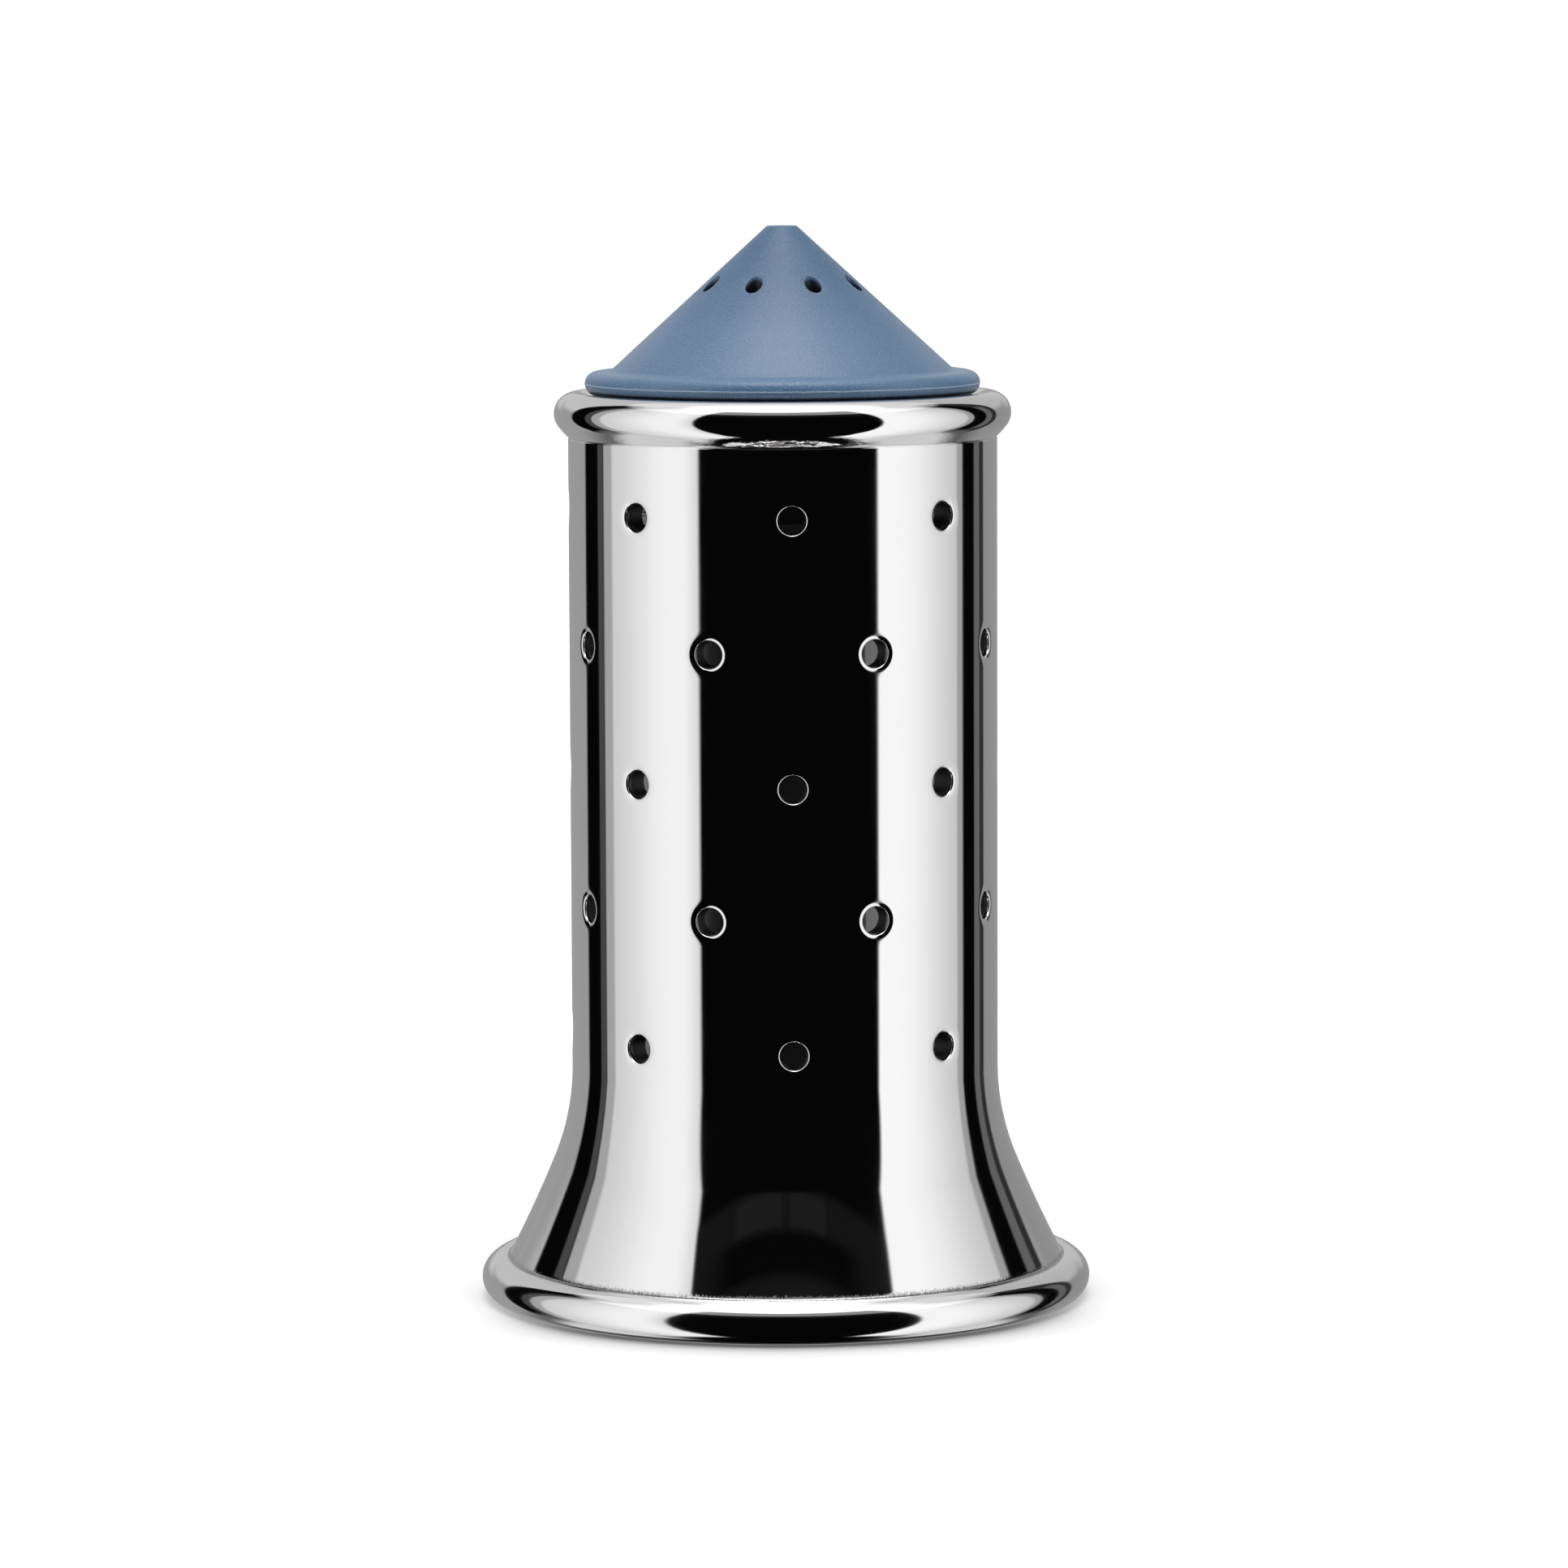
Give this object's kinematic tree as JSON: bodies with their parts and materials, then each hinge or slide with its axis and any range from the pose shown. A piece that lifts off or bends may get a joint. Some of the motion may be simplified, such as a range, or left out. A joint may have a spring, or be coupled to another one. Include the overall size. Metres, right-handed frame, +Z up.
{
  "type": "salt shaker",
  "caption": "Table salt shaker: a mirror-polished pierced steel sleeve with a flared foot round a slim dark salt tube, closed by a matt blue conical screw cap with pour holes.",
  "frame": {"origin": "centre of the foot, on the table plane that the foot bead rests on", "axes": "+Z up along the axis that every piece is turned about; -Y faces the viewer of the picture"},
  "size_m": [0.058, 0.058, 0.1017],
  "materials": {
    "polished_steel": "mirror-polished stainless steel",
    "dark_plastic": "glossy near-black plastic",
    "plug_plastic": "matt near-black plastic",
    "blue_plastic": "matt grey-blue moulded plastic with a fine grain",
    "seal_rubber": "black rubber"
  },
  "bodies": {
    "body": {"steel_sleeve": "polished_steel", "salt_container": "dark_plastic", "base_plug": "plug_plastic"},
    "seal": {"cap_seal": "seal_rubber"},
    "cap": {"cone_cap": "blue_plastic"}
  },
  "joints": [
    {"name": "cap_lift", "type": "slide", "parent": "body", "child": "seal", "axis": [0, 0, 1], "range_m": [0, 0.008]},
    {"name": "cap_twist", "type": "hinge", "parent": "seal", "child": "cap", "pos_m": [0, 0, 0.0858], "axis": [0, 0, 1], "range_deg": [0, 720]}
  ],
  "couplings": [
    {"joint": "cap_lift", "follows": "cap_twist", "m_per_rad": 0.00063662}
  ]
}
